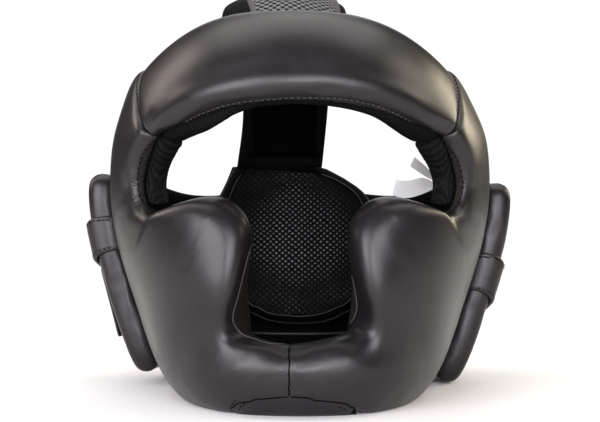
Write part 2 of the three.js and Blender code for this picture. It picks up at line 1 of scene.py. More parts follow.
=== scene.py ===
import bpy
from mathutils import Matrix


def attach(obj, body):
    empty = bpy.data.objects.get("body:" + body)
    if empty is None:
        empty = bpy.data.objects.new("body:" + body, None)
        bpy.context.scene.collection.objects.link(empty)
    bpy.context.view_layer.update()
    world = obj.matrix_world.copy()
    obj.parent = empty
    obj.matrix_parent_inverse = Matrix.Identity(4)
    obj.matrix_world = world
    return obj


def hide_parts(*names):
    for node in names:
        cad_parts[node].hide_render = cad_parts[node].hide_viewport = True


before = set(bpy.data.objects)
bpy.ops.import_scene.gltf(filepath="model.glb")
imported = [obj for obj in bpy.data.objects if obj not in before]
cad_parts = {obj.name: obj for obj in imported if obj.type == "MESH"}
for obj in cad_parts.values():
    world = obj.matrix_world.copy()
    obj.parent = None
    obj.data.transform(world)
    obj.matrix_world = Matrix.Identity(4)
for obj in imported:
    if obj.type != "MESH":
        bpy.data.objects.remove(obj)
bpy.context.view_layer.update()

import math

import bmesh
import bpy
from bpy.props import FloatProperty, FloatVectorProperty, PointerProperty
from mathutils import Matrix, Vector
from mathutils.bvhtree import BVHTree
from mathutils.kdtree import KDTree

bl_info = {
    "name": "Padded head guard",
    "version": (1, 0, 0),
    "blender": (4, 5, 0),
    "location": "View3D > Sidebar > Head guard",
    "description": "Dresses the solids of a padded head guard in leather, lining and mesh",
    "category": "Object",
}

MM = 0.001
EYE = Vector((0.0, -0.8, 0.1123))  # where the guard is looked at from
SEAM_STEPS = 6  # points that a smooth line gets for each row of its table
SEWN_REACH = 1.2 * MM  # what lies nearer than this to another solid is sewn to it
FOOT = 0.2 * MM  # what lies lower than this stands on the floor
OUTSIDE = -20.0  # millimetres past an opening's edge, for places well outside it
FAR_GAP = 99.0  # millimetres to the nearest seam, for pieces with none
CLOTH_FRAMES = 20
SCAN_STEP = 0.5 * MM
PATCH_STEPS = 16  # faces across the crown mesh
STRIP_STEPS = 12  # faces across the strip over a seam
GLOW = 1.05  # strength of the white surroundings

# Seams as front view places (x, z) in millimetres on the middle plane.
BROW_SEAM = [
    (-83, 151.5), (-76, 155), (-59.5, 163.5), (-40, 170), (-11.5, 173), (0, 173.5), (24.5, 173),
    (48.5, 168), (68, 159), (83, 151.5),
]
EYE_SEAM = {
    "left": [
        (-84.5, 149.5), (-90.5, 144.5), (-95, 136.5), (-97, 124.5), (-95.5, 114.5), (-89.5, 107.5),
        (-83.5, 105),
    ],
    "right": [
        (83.5, 149.5), (90, 143.5), (94, 138), (96.5, 132.5), (98.5, 120.5), (95.5, 110),
        (89.5, 103.5),
    ],
}
# Upper outer corner of the eye opening on the linings, and how far the cloth fills it.
EYE_CORNER = {
    "left": [
        (-22, 172.5), (-34, 170.5), (-46, 167.5), (-58, 163), (-69, 157), (-79, 148.5), (-82, 138),
        (-83, 127), (-83.5, 116),
    ],
    "right": [(48, 166.5), (60, 162), (71, 155.5), (79, 148.5), (82, 138), (83, 127), (83.5, 116)],
}
CORNER_FILL = {"left": 6.0 * MM, "right": 6.5 * MM}
MOUTH_EDGE = {
    "left": [
        (-28.2, 94.3), (-27.6, 88.3), (-30.6, 78.7), (-34.2, 64.3), (-37.2, 52.3), (-39.6, 43.9),
        (-39, 37.9), (-34.2, 31.9), (-26.4, 28.9), (-17.4, 26.2), (-6.6, 25.9),
    ],
    "right": [
        (28, 90.7), (29.4, 76.3), (31.8, 66.7), (34.2, 54.7), (34.8, 47.5), (33, 41.5),
        (30, 37.9), (23.4, 34.3), (12.6, 31.3), (3, 28.3), (-5.4, 25.9),
    ],
}
# Crests of the padding: the fold across the brow, the fullest spot of the cheeks and the lip of
# the chin bar.
BROW_FOLD = [
    (-80, 169.5), (-71, 173), (-62, 176), (-50, 179), (-38, 182), (-26, 184), (-14, 185.3),
    (-2, 185.7), (10, 185.7), (22, 185), (34, 183.5), (46, 181), (58, 177.3), (70, 172.5),
    (79, 167.7),
]
CHEEK_MIDDLE = {"left": (-50, 57), "right": (47, 57)}
CHIN_LIP = {
    "left": [(-50, 28.5), (-42.6, 25.5), (-35.4, 24.2), (-24.6, 23.6), (-14.4, 23.3), (-6.8, 23.3)],
    "right": [(37, 35.5), (30.6, 30), (23.4, 26.7), (13.8, 24.3), (3.6, 23.3), (-5, 23.3)],
}
CHIN_SEAM = [(-6, 23.5), (-6, 17), (-6, 8), (-6, 0), (-5.8, -5)]
GUSSET_EDGE = [
    (-42.5, -15), (-39.5, -11.5), (-36, -9.4), (-31, -8.3), (-17, -7), (-6, -6.2), (12, -7.6),
    (24, -9.2), (31.5, -11.5), (35.5, -14.5),
]
GUSSET_SEAMS = [
    [(-41.4, -14), (-40.6, -10.5), (-36.5, -6.8)],
    [(-36, -14.5), (-34.8, -11.3), (-30, -8.9)],
    [(23, -11.5), (27, -13), (30, -14.5)],
]
BROW_SIDE_SEAM = {
    "left": [(-93, 193), (-97, 184), (-97, 173), (-95, 164), (-91, 155), (-86, 149.5)],
    "right": [(91.5, 190), (95.5, 179), (96, 168), (94, 161), (88.5, 153), (84.5, 149.5)],
}
SIDES = (("left", -1), ("right", 1))

# Rear pad: height, left edge and right edge. Rear panel: turn and height of its top edge.
REAR_PAD_EDGE = [
    (132, -41, 15), (126, -45, 28), (117, -49, 41), (106, -54, 48), (92, -57, 53), (76, -56, 53),
    (60, -49, 47), (46, -38, 37), (36.5, -24, 23), (33.5, -9, 9),
]
REAR_TOP = [(180, 121.5), (163, 118), (150, 115), (137, 116), (126, 121.5), (106, 125.5)]

# Crown strap: middle of its arch. Ear bands: distance of the ear pad's middle from the head's.
STRAP_MIDDLE = Vector((0.0, 0.008, 0.135))
BAND_MIDDLE = {"left": 118.5, "right": 112.5}

# Care label, from the tip of the upper flap to the root and to the tip of the lower flap: lower
# edge (x, z), upper edge (x, z) and depth of the middle, in millimetres.
LABEL_WIDTH = 11.0
LABEL_ROWS = [
    (66, 132.5, 69.5, 138.5, -2), (71, 129, 75, 134, 0), (77, 125.5, 80.5, 129, 3),
    (83, 122.8, 85, 125.5, 6), (85.5, 121.2, 86, 123.6, 6.5), (82, 119.5, 81.5, 123.5, 5),
    (76, 116.5, 75, 126, 2), (68, 113.8, 67, 124.3, -1), (61, 113.3, 61.5, 124, -3),
    (55.5, 115.5, 58, 125, -4),
]


# Settings of the add-on.


def length_setting(name, description, millimetres):
    return FloatProperty(
        name=name, description=description, default=millimetres * MM, unit="LENGTH"
    )


def colour_setting(name, description, colour):
    return FloatVectorProperty(
        name=name, description=description, default=colour, subtype="COLOR", size=3
    )


class HeadGuardSizes(bpy.types.PropertyGroup):
    """Sizes of the sewn details."""

    stitch_length: length_setting("Stitch length", "Length of one stitch of the seams", 2.3)
    stitch_pitch: length_setting("Stitch pitch", "Distance from one stitch to the next", 3.1)
    thread_width: length_setting("Thread width", "Width of the sewing thread", 0.75)
    binding_width: length_setting("Binding width", "Width of the tape round the rear pad", 7.0)


class HeadGuardColours(bpy.types.PropertyGroup):
    """Colours of the materials."""

    leather: colour_setting("Leather", "Leather of the pads and bands", (0.0066, 0.0054, 0.0064))
    lining: colour_setting("Lining", "Lining of the eye opening", (0.0034, 0.0034, 0.0037))
    mesh: colour_setting("Spacer mesh", "Mesh of the rear pad", (0.006, 0.006, 0.007))
    thread: colour_setting("Thread", "Sewing thread", (0.030, 0.027, 0.026))
    label: colour_setting("Label", "Ribbon of the care label", (0.80, 0.80, 0.80))


# Materials.


def sum_method(operation, turned=False):
    """A method that adds a Math node; turned puts the other value first."""

    def method(self, other=0.0):
        first, second = (other, self) if turned else (self, other)
        links = {0: first, 1: second}
        return self.finish.add("ShaderNodeMath", {"operation": operation}, links)[0]

    return method


class Value:
    """A socket whose sums, differences and products add Math nodes."""

    __add__ = sum_method("ADD")
    __radd__ = sum_method("ADD", turned=True)
    __sub__ = sum_method("SUBTRACT")
    __rsub__ = sum_method("SUBTRACT", turned=True)
    __mul__ = sum_method("MULTIPLY")
    __truediv__ = sum_method("DIVIDE")
    most = sum_method("MAXIMUM")
    size = sum_method("ABSOLUTE")
    sine = sum_method("SINE")

    def __init__(self, finish, socket):
        self.finish = finish
        self.socket = socket

    def wave(self, period):
        return (self * (2 * math.pi / period)).sine()

    def ramp(self, low, high, start=0.0, end=1.0):
        settings = {"interpolation_type": "SMOOTHSTEP"}
        links = {"Value": self, "From Min": low, "From Max": high, "To Min": start, "To Max": end}
        return self.finish.add("ShaderNodeMapRange", settings, links)[0]


class Finish:
    """A material being made: add() places a node and gives its outputs."""

    def __init__(self, name):
        self.material = bpy.data.materials.new(name)
        self.material.use_nodes = True
        self.tree = self.material.node_tree
        self.tree.nodes.clear()
        self.output = self.tree.nodes.new("ShaderNodeOutputMaterial")

    def add(self, kind, settings=None, links=None):
        node = self.tree.nodes.new(kind)
        for key, value in (settings or {}).items():
            setattr(node, key, value)
        for key, value in (links or {}).items():
            if isinstance(value, Value):
                self.tree.links.new(value.socket, node.inputs[key])
            else:
                node.inputs[key].default_value = value
        return [Value(self, socket) for socket in node.outputs if socket.enabled]

    def place(self):
        return self.add("ShaderNodeTexCoord")[3]

    def place_parts(self):
        return self.add("ShaderNodeSeparateXYZ", {}, {"Vector": self.place()})

    def cloth_parts(self):
        """Both ways along the cloth's own map, in millimetres."""
        uv = self.add("ShaderNodeUVMap", {"uv_map": "cloth"})[0]
        return self.add("ShaderNodeSeparateXYZ", {}, {"Vector": uv})

    def grain(self, scale, detail=2.0, rough=0.55):
        links = {"Scale": scale, "Detail": detail, "Roughness": rough, "Vector": self.place()}
        return self.add("ShaderNodeTexNoise", {}, links)[0]

    def cells(self, scale):
        return self.add("ShaderNodeTexVoronoi", {}, {"Scale": scale, "Vector": self.place()})[0]

    def carried(self, name):
        return self.add("ShaderNodeAttribute", {"attribute_name": name})[2]

    def mixed(self, share, first, second):
        """A colour between two others."""
        node = self.tree.nodes.new("ShaderNodeMix")
        node.data_type = "RGBA"
        self.tree.links.new(share.socket, node.inputs[0])
        for key, value in ((6, first), (7, second)):
            if isinstance(value, Value):
                self.tree.links.new(value.socket, node.inputs[key])
            else:
                node.inputs[key].default_value = (*value, 1.0)
        return Value(self, node.outputs[2])

    def relief(self, height, depth):
        links = {"Height": height, "Distance": depth, "Strength": 1.0}
        return self.add("ShaderNodeBump", {}, links)[0]

    def shader(self, colour, rough, relief=None, gloss=0.5, **more):
        links = {"Base Color": colour, "Roughness": rough, "Specular IOR Level": gloss, **more}
        if relief:
            links["Normal"] = relief
        return self.add("ShaderNodeBsdfPrincipled", {}, links)[0]

    def glow(self):
        links = {"Color": (1, 1, 1, 1), "Strength": GLOW}
        return self.add("ShaderNodeEmission", {}, links)[0]

    def blend(self, share, first, second):
        return self.add("ShaderNodeMixShader", {}, {0: share, 1: first, 2: second})[0]

    def show(self, shader):
        self.tree.links.new(shader.socket, self.output.inputs["Surface"])
        return self.material

    def surface(self, **links):
        return self.show(self.shader(**links))


def colour_of(name):
    return tuple(getattr(bpy.context.scene.guard_colours, name))


def shade(colour, factor):
    return tuple(c * factor for c in colour)


def leather_finish(name):
    """Charcoal leather, puckered along its seams; black cloth beyond the openings' edges."""
    f = Finish(name)
    base = colour_of("leather")
    gap = f.carried("seam_gap")
    run = f.carried("seam_run")
    tight = f.carried("pucker")
    inside = f.carried("lining_side").ramp(-0.25, 0.25)
    pores = f.cells(800.0)
    fine = f.grain(1400.0)
    broad = f.grain(60.0, 3.0)
    near = gap.ramp(0.5, 8.5, 1.0, 0.0)
    drift = f.grain(190.0)
    uneven = drift.ramp(0.35, 0.6, 0.25, 1.0)
    folds = (run * 3.3 + drift * 11.0).sine() * near * uneven * tight
    # Painted shade: the leather is darkened in the crease along each seam.
    crease = gap.ramp(0.2, 1.0, 1.0, 0.0)
    height = pores * 0.06 + fine * 0.04 + broad * 0.22 + folds * 0.13 - crease * 0.45
    # In the leather this is only a random, uneven tone of the hide.
    wear_and_painted_sheen = (broad - 0.5).ramp(-0.2, 0.25)
    tint = f.mixed(wear_and_painted_sheen, shade(base, 0.86), shade(base, 1.16))
    hide = f.shader(
        colour=f.mixed(crease * 0.7, tint, shade(base, 0.30)),
        rough=0.27 + broad * 0.10 + pores * 0.06 + crease * 0.2,
        relief=f.relief(height, 0.5 * MM),
        gloss=0.36,
    )
    knit = f.cells(1000.0)
    cloth = f.shader(
        colour=f.mixed(knit, (0.012, 0.0105, 0.008), (0.002, 0.002, 0.002)),
        rough=0.7,
        relief=f.relief(knit, -0.4 * MM),
        gloss=0.12,
    )
    return f.show(f.blend(inside, hide, cloth))


def dark_leather_finish(name):
    """Plain leather outside; on the faces that carry inner_face, black cloth darkened further as
    painted shade of the guard's inside.
    """
    f = Finish(name)
    base = shade(colour_of("leather"), 0.8)
    pores = f.cells(850.0)
    broad = f.grain(45.0, 3.0)
    height = pores * 0.5 + f.grain(1300.0) * 0.3
    hide = f.shader(
        colour=f.mixed(broad, shade(base, 0.8), shade(base, 1.2)),
        rough=0.34 + broad * 0.12,
        relief=f.relief(height, 0.12 * MM),
        gloss=0.34,
    )
    cloth = f.shader(
        colour=f.mixed(pores, (0.0018, 0.0017, 0.0018), (0.0005, 0.0005, 0.0005)),
        rough=0.6,
        relief=f.relief(pores, -0.2 * MM),
        gloss=0.03,
    )
    return f.show(f.blend(f.carried("inner_face").ramp(0.3, 0.7), hide, cloth))


def lining_finish(name):
    f = Finish(name)
    base = colour_of("lining")
    parts = f.cloth_parts()
    sway = f.grain(120.0)
    rib = ((parts[0] + sway * 1.2).wave(1.7) + 1.0) * 0.5
    knit = f.cells(1000.0)
    weave = rib * 0.5 - knit * 0.7
    tint = f.mixed(weave.ramp(-0.4, 0.5), shade(base, 0.3), shade(base, 1.7))
    return f.surface(colour=tint, rough=0.72, relief=f.relief(weave, 0.35 * MM), gloss=0.06)


def knots_of(f, wide, tall):
    """Staggered knots of a knitted mesh, from -1 to 1, on the cloth's own map."""
    parts = f.cloth_parts()
    bend = f.grain(70.0)
    return (parts[0] + bend * 2.4).wave(wide) * (parts[1] + bend * 2.0).wave(tall)


def spacer_mesh_finish(name, share=1.0):
    f = Finish(name)
    # A share below 1 darkens the mesh as painted shade.
    base = shade(colour_of("mesh"), share)
    knots = knots_of(f, 4.2, 3.6)
    hole = knots.ramp(-0.85, -0.25, 1.0, 0.0)
    bump = knots.ramp(0.2, 0.9)
    yarn = f.grain(1600.0, rough=0.6)
    # Painted sheen: the knot tops are painted brighter and glossier towards the middle of the pad,
    # where light falls in through the openings.
    place = f.place_parts()
    wide, tall, middle = 42 * MM, 36 * MM, 88 * MM
    aside, above = place[0] / wide, (place[2] - middle) / tall
    wear_and_painted_sheen = (aside * aside + above * above).ramp(0.0, 1.0, 1.0, 0.0)
    top = f.mixed(wear_and_painted_sheen, shade(base, 0.5), shade(base, 22.0))
    tint = f.mixed(hole, f.mixed(bump, shade(base, 0.06), top), shade(base, 0.02))
    height = bump * 0.85 - hole * 0.5 + yarn * 0.15
    patchy = f.grain(330.0).ramp(0.3, 0.6)
    return f.surface(
        colour=tint,
        rough=0.62 - bump * 0.3,
        relief=f.relief(height, 1.1 * MM),
        gloss=0.10 * share,
        **{"Coat Weight": bump * patchy * (wear_and_painted_sheen * 0.8 + 0.12) * share, "Coat Roughness": 0.22},
    )


def shaded_mesh_finish(name):
    """The same mesh under the crown strap, darkened to a fifth and made less glossy, as painted
    shade.
    """
    return spacer_mesh_finish(name, 0.2)


def open_mesh_finish(name):
    """The net on top of the crown strap: grey yarn round black holes."""
    f = Finish(name)
    hole = knots_of(f, 4.6, 4.0).ramp(-0.1, 0.25)
    yarn = f.grain(1600.0, rough=0.6)
    grey = f.mixed(yarn, (0.06, 0.06, 0.062), (0.16, 0.16, 0.165))
    tint = f.mixed(hole, grey, (0.001, 0.001, 0.001))
    return f.surface(
        colour=tint,
        rough=0.6,
        relief=f.relief(yarn * 0.2 - hole, 0.9 * MM),
        gloss=0.12,
    )


def grey_tape_finish(name):
    f = Finish(name)
    weave = f.cells(1300.0)
    return f.surface(
        colour=f.mixed(weave, (0.075, 0.073, 0.073), (0.030, 0.029, 0.030)),
        rough=0.65,
        relief=f.relief(weave, -0.2 * MM),
        gloss=0.2,
    )


def thread_finish(name, share=0.06, gloss=0.04):
    f = Finish(name)
    twist = f.grain(3000.0)
    base = shade(colour_of("thread"), share)
    tint = f.mixed(twist, shade(base, 0.6), shade(base, 1.8))
    return f.surface(colour=tint, rough=0.7, relief=f.relief(twist, 0.1 * MM), gloss=gloss)


def pale_thread_finish(name):
    return thread_finish(name, 1.0, 0.2)


def label_finish(name):
    f = Finish(name)
    parts = f.cloth_parts()
    weave = parts[0].wave(0.45) * parts[1].wave(0.45)
    base = colour_of("label")
    tint = f.mixed((weave + 1.0) * 0.5, shade(base, 0.9), base)
    return f.surface(colour=tint, rough=0.7, relief=f.relief(weave, 0.08 * MM))


def floor_finish(name):
    f = Finish(name)
    soft = f.grain(3.0)
    tint = f.mixed(soft, (0.78, 0.78, 0.78), (0.80, 0.80, 0.80))
    paper = f.shader(colour=tint, rough=0.7)
    parts = f.place_parts()
    depth, across = parts[1], parts[0].size()
    share = depth.ramp(0.12, 0.9) * across.ramp(0.7, 1.1, 1.0, 0.0)
    looked_at = f.add("ShaderNodeLightPath")[0]
    far = (depth * depth + across * across).ramp(0.3, 1.6)
    return f.show(f.blend(share.most(far * looked_at), paper, f.glow()))


def backdrop_finish(name):
    f = Finish(name)
    return f.show(f.glow())


FINISHES = {
    "sewing_thread": thread_finish,
    "charcoal_leather": leather_finish,
    "pale_thread": pale_thread_finish,
    "ribbed_lining": lining_finish,
    "plain_leather": dark_leather_finish,
    "spacer_mesh": spacer_mesh_finish,
    "open_mesh": open_mesh_finish,
    "grey_tape": grey_tape_finish,
    "shaded_mesh": shaded_mesh_finish,
    "label_ribbon": label_finish,
    "floor": floor_finish,
    "backdrop": backdrop_finish,
}


def finish_of(name):
    """The material of that name, made when it is first asked for."""
    return bpy.data.materials.get(name) or FINISHES[name](name)


LEATHER, DARK, PALE = "charcoal_leather", "plain_leather", "pale_thread"


# Shaping.


def put_in_scene(name, bm, finish):
    mesh = bpy.data.meshes.new(name)
    bm.to_mesh(mesh)
    bm.free()
    mesh.materials.append(finish_of(finish))
    mesh.shade_smooth()
    piece = bpy.data.objects.new(name, mesh)
    bpy.context.scene.collection.objects.link(piece)
    return piece


def clamped(value):
    return min(max(value, 0.0), 1.0)


def tree_of(places):
    tree = KDTree(len(places))
    for number, place in enumerate(places):
        tree.insert(place, number)
    tree.balance()
    return tree


def subdivided(piece):
    """Puts a subdivided copy of the mesh in place of the mesh, with any other modifier applied."""
    finer = piece.modifiers.new("finer", "SUBSURF")
    finer.levels = 1
    finer.render_levels = 1
    rounded = piece.evaluated_get(bpy.context.evaluated_depsgraph_get())
    mesh = bpy.data.meshes.new_from_object(rounded)
    piece.modifiers.clear()
    before = piece.data
    piece.data = mesh
    bpy.data.meshes.remove(before)
    mesh.name = piece.name


def other_solids(node):
    bm = bmesh.new()
    for name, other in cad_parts.items():
        if name != node:
            bm.from_mesh(other.data)
    tree = BVHTree.FromBMesh(bm)
    bm.free()
    return tree


def eased(piece, rounds, chosen):
    """Evens the mesh out at the places that chosen picks."""
    bm = bmesh.new()
    bm.from_mesh(piece.data)
    free = [v for v in bm.verts if chosen(v.co)]
    for _ in range(rounds):
        bmesh.ops.smooth_vert(
            bm, verts=free, factor=0.5, use_axis_x=True, use_axis_y=True, use_axis_z=True
        )
    bm.to_mesh(piece.data)
    bm.free()


def filled_out(piece, node):
    """Moves a smoothed mesh back out to the surface of its solid, evenly."""
    solid = BVHTree.FromPolygons(*solid_faces(node))
    bm = bmesh.new()
    bm.from_mesh(piece.data)
    bm.normal_update()
    short = []
    for vertex in bm.verts:
        place, normal, _, distance = solid.find_nearest(vertex.co)
        short.append(distance if (place - vertex.co).dot(normal) > 0 else 0.0)
    even_rounds, most = 4, 2.5 * MM
    for _ in range(even_rounds):
        even = []
        for vertex in bm.verts:
            around = [short[e.other_vert(vertex).index] for e in vertex.link_edges]
            even.append((short[vertex.index] + sum(around)) / (1 + len(around)))
        short = even
    for vertex, distance in zip(bm.verts, short):
        vertex.co += vertex.normal * min(distance, most)
        vertex.co.z = max(vertex.co.z, 0.0)
    bm.to_mesh(piece.data)
    bm.free()


def solid_faces(node):
    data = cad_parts[node].data
    return [v.co for v in data.vertices], [p.vertices for p in data.polygons]


def swollen(piece, others, cap):
    """Cloth under air pressure fills the pad out; what lies next to another piece is held."""
    held = piece.vertex_groups.new(name="held")
    for vertex in piece.data.vertices:
        away = others.find_nearest(vertex.co)[3]
        if vertex.co.z < 0.5 * MM:
            away = 0.0
        held.add([vertex.index], clamped(1.25 - away / (5 * MM)), "REPLACE")
    cloth = piece.modifiers.new("swell", "CLOTH")
    cloth.settings.quality = 4
    cloth.settings.mass = 0.25
    cloth.settings.bending_stiffness = 1.5
    cloth.settings.vertex_group_mass = "held"
    cloth.settings.shrink_min = -0.012
    cloth.settings.use_pressure = True
    cloth.settings.uniform_pressure_force = 4.0
    cloth.settings.effector_weights.gravity = 0.0
    for number in range(1, CLOTH_FRAMES + 1):
        bpy.context.scene.frame_set(number)
    full = piece.evaluated_get(bpy.context.evaluated_depsgraph_get()).to_mesh()
    moves = [full.vertices[v.index].co - v.co for v in piece.data.vertices]
    piece.modifiers.clear()
    piece.vertex_groups.clear()
    for vertex, move in zip(piece.data.vertices, moves):
        vertex.co += move * (cap / (cap + move.length))
        vertex.co.z = max(vertex.co.z, 0.0)
    bpy.context.scene.frame_set(1)


def padded_copy(node, name, finish, rounds=2, cap=0.0, crease=0.8, reach=SEWN_REACH, soft=()):
    """The solid of a node as an even, rounded pad: quads, subdivided, smoothed and filled out.
    Sharp edges within reach of another piece stay creased, so that seams close. cap holds the
    swelling of the cloth back, and soft lists (place, reach, rounds) of forms to round off."""
    others = other_solids(node)
    bm = bmesh.new()
    bm.from_mesh(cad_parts[node].data)
    bmesh.ops.remove_doubles(bm, verts=bm.verts, dist=2e-6)
    bmesh.ops.join_triangles(
        bm, faces=bm.faces[:], angle_face_threshold=1.2, angle_shape_threshold=3.0
    )
    kept = bm.edges.layers.float.new("crease_edge")
    for edge in bm.edges:
        sharp = edge.is_manifold and edge.calc_face_angle() > 0.6
        if sharp and all(others.find_nearest(v.co)[3] < reach for v in edge.verts):
            edge[kept] = crease
    piece = put_in_scene(name, bm, finish)
    subdivided(piece)

    def unsewn(co):
        return others.find_nearest(co)[3] > SEWN_REACH

    eased(piece, rounds, lambda co: co.z > FOOT and unsewn(co))
    filled_out(piece, node)
    for place, wide, times in soft:
        eased(piece, times, lambda co: (co - place).length < wide and unsewn(co))
    if cap > 0.0:
        swollen(piece, others, cap)
    subdivided(piece)
    piece.data.shade_smooth()
    return piece


class Skin:
    """Finds places on the surface of a finished piece."""

    def __init__(self, *pieces):
        bm = bmesh.new()
        for piece in pieces:
            bm.from_mesh(piece.data)
        self.tree = BVHTree.FromBMesh(bm)
        bm.free()

    def hit(self, start, way):
        place, normal, _, _ = self.tree.ray_cast(Vector(start), Vector(way).normalized())
        return (place, normal) if place is not None else None

    def around(self, turn, z):
        """The place on the outside at a turn in degrees from the face and a height."""
        a = math.radians(turn)
        out = Vector((math.sin(a), -math.cos(a), 0))
        return self.hit(out + Vector((0, 0, z)), -out)

    def within(self, x, z):
        """The place on the inner face of the back, looking from the head's middle."""
        return self.hit((x, 0.0, z), (0, 1, 0))

    def seen(self, x, z):
        """The place seen from the front at x, z of the middle plane, in millimetres."""
        return self.hit(EYE, Vector((x * MM, 0.0, z * MM)) - EYE)

    def seen_line(self, rows):
        return found([self.seen(x, z) for x, z in smooth_rows(rows, SEAM_STEPS)])


def found(spots):
    return [spot for spot in spots if spot]


def even_line(points, pitch):
    """Points at an even pitch along a line of (place, normal) pairs."""
    line = [points[0]]
    left = pitch
    for (a, na), (b, nb) in zip(points, points[1:]):
        span = (b - a).length
        at = left
        while at <= span:
            share = at / span
            line.append((a.lerp(b, share), na.lerp(nb, share).normalized()))
            at += pitch
        left = at - span
    return line


def curve_value(a, b, c, d, t):
    """A value on the smooth curve through a, b, c and d, a share t of the way from b to c."""
    square = 2 * a - 5 * b + 4 * c - d
    cube = 3 * b - a - 3 * c + d
    return 0.5 * (2 * b + (c - a) * t + square * t * t + cube * t**3)


def smooth_rows(rows, steps):
    """A smooth line of values through the rows of a table."""
    out = []
    last = len(rows) - 1
    for i in range(last):
        four = (rows[max(i - 1, 0)], rows[i], rows[i + 1], rows[min(i + 2, last)])
        for k in range(steps):
            out.append(tuple(curve_value(*values, k / steps) for values in zip(*four)))
    out.append(tuple(rows[-1]))
    return out


def stitch_row(name, line, finish="sewing_thread"):
    """A row of stitches along a line of (place, normal) pairs, laid on the surface."""
    sizes = bpy.context.scene.guard_sizes
    bm = bmesh.new()
    spots = even_line(line, sizes.stitch_pitch)
    for (a, normal), (b, _) in zip(spots, spots[1:]):
        ahead = (b - a).normalized()
        side = normal.cross(ahead).normalized()
        up = ahead.cross(side)
        middle = a.lerp(b, 0.5)
        axes = Matrix((ahead, side, up)).transposed().to_4x4()
        thick = sizes.thread_width / 2
        grow = Matrix.Diagonal((sizes.stitch_length / 2, thick, thick, 1))
        placed = Matrix.Translation(middle) @ axes @ grow
        bmesh.ops.create_uvsphere(bm, u_segments=6, v_segments=4, radius=1.0, matrix=placed)
    settle(put_in_scene(name, bm, finish))


def ribbon(name, line, width, thick, finish):
    """A soft tape with a rounded edge, swept along a line of (place, normal) pairs."""
    sides = 10
    bm = bmesh.new()
    ring = bmesh.ops.create_circle(bm, segments=sides, radius=1.0, cap_ends=True)["verts"]
    edges = list({e for v in ring for e in v.link_edges})
    steps = []
    for i, (place, normal) in enumerate(line):
        ahead = (line[min(i + 1, len(line) - 1)][0] - line[max(i - 1, 0)][0]).normalized()
        side = ahead.cross(normal).normalized()
        up = side.cross(ahead)
        frame_at = Matrix((side * width / 2, up * thick / 2, ahead)).transposed().to_4x4()
        steps.append(Matrix.Translation(place) @ frame_at)
    bmesh.ops.transform(bm, matrix=steps[0], verts=ring)
    for before, after in zip(steps, steps[1:]):
        grown = bmesh.ops.extrude_edge_only(bm, edges=edges)["geom"]
        verts = [g for g in grown if isinstance(g, bmesh.types.BMVert)]
        fresh = set(verts)
        edges = [g for g in grown if isinstance(g, bmesh.types.BMEdge)]
        edges = [edge for edge in edges if fresh.issuperset(edge.verts)]
        bmesh.ops.transform(bm, matrix=after @ before.inverted(), verts=verts)
    bmesh.ops.holes_fill(bm, edges=bm.edges[:], sides=sides)
    bmesh.ops.recalc_face_normals(bm, faces=bm.faces[:])
    return put_in_scene(name, bm, finish)


def front_place(co):
    """Front view place of a point, in millimetres on the middle plane."""
    share = -EYE.y / (co.y - EYE.y)
    return Vector((co.x * share / MM, (EYE.z + (co.z - EYE.z) * share) / MM))


def carry(piece, name, values):
    kept = piece.data.attributes.new(name, "FLOAT", "POINT")
    kept.data.foreach_set("value", values)


def carry_seams(piece, lines):
    """Keeps on each vertex its distance to the nearest seam and the place along it, both in
    millimetres, and the pull of that seam. lines holds pairs of a line and its pull from 0 to 1,
    which fades out over the last part of the line."""
    spots = []
    pitch = 1.2 * MM
    for line, pull in lines:
        run = 0.0
        dense = even_line(line, pitch)
        for k, (place, _) in enumerate(dense):
            run += (place - dense[k - 1][0]).length if k else 0.0
            fade = clamped(3.6 - 4.8 * k / len(dense))
            spots.append((place, run, pull * fade))
    count = len(piece.data.vertices)
    gaps, runs, pulls = [FAR_GAP] * count, [0.0] * count, [0.0] * count
    if spots:
        tree = tree_of([spot[0] for spot in spots])
        for k, vertex in enumerate(piece.data.vertices):
            _, nearest, distance = tree.find(vertex.co)
            gaps[k] = distance / MM
            runs[k] = spots[nearest][1] / MM
            pulls[k] = spots[nearest][2]
    carry(piece, "seam_gap", gaps)
    carry(piece, "seam_run", runs)
    carry(piece, "pucker", pulls)


def beyond(line, spot, hand):
    """Distance of a front view place past a line, towards the opening; negative outside it."""
    best, side = 30.0, OUTSIDE
    for a, b in zip(line, line[1:]):
        share = (spot - a).dot(b - a) / (b - a).length_squared
        if 0.0 <= share <= 1.0:
            away = (spot - a.lerp(b, share)).length
            if away < best:
                best, side = away, math.copysign(away, -hand * (b - a).cross(spot - a))
    return side


def outward(vertex):
    """How far a vertex faces away from the head's middle, from -1 to 1."""
    return vertex.normal.dot(Vector((vertex.co.x, vertex.co.y, 0.0)).normalized())


def lining_side(piece, edges, hand):
    """Millimetres beyond the edges of the eye and mouth, or past the turn to the inner face."""
    turn_in, turn_scale, hidden = 0.3, 8.0, -0.3
    lines = [[Vector(row) for row in smooth_rows(edge, SEAM_STEPS)] for edge in edges]
    values = []
    for vertex in piece.data.vertices:
        value = (-outward(vertex) - turn_in) * turn_scale
        if vertex.normal.dot((EYE - vertex.co).normalized()) > hidden:
            spot = front_place(vertex.co)
            value = max([value] + [beyond(line, spot, hand) for line in lines])
        values.append(value)
    return values


def pushed(piece, line, width, push):
    """Moves each vertex by push, which gets it and the number of the nearest place on the line.
    The move fades away over a width from the line."""
    tree = tree_of([place for place, _ in line])
    moves = []
    for vertex in piece.data.vertices:
        _, k, distance = tree.find(vertex.co)
        moves.append(push(vertex, k) * math.exp(-((distance / width) ** 2)))
    for vertex, move in zip(piece.data.vertices, moves):
        vertex.co += move


def ridged(piece, line, height, width):
    """Raises a soft ridge along a line of (place, normal) pairs, or a swelling round a single
    one, as the foam inside does."""
    spots = even_line(line, 1.0 * MM)
    blunt = len(line) == 1
    end = 15.0

    def push(vertex, k):
        fade = 1.0 if blunt else min(k / end, (len(spots) - k) / end, 1.0)
        return vertex.normal * height * fade

    pushed(piece, spots, width, push)


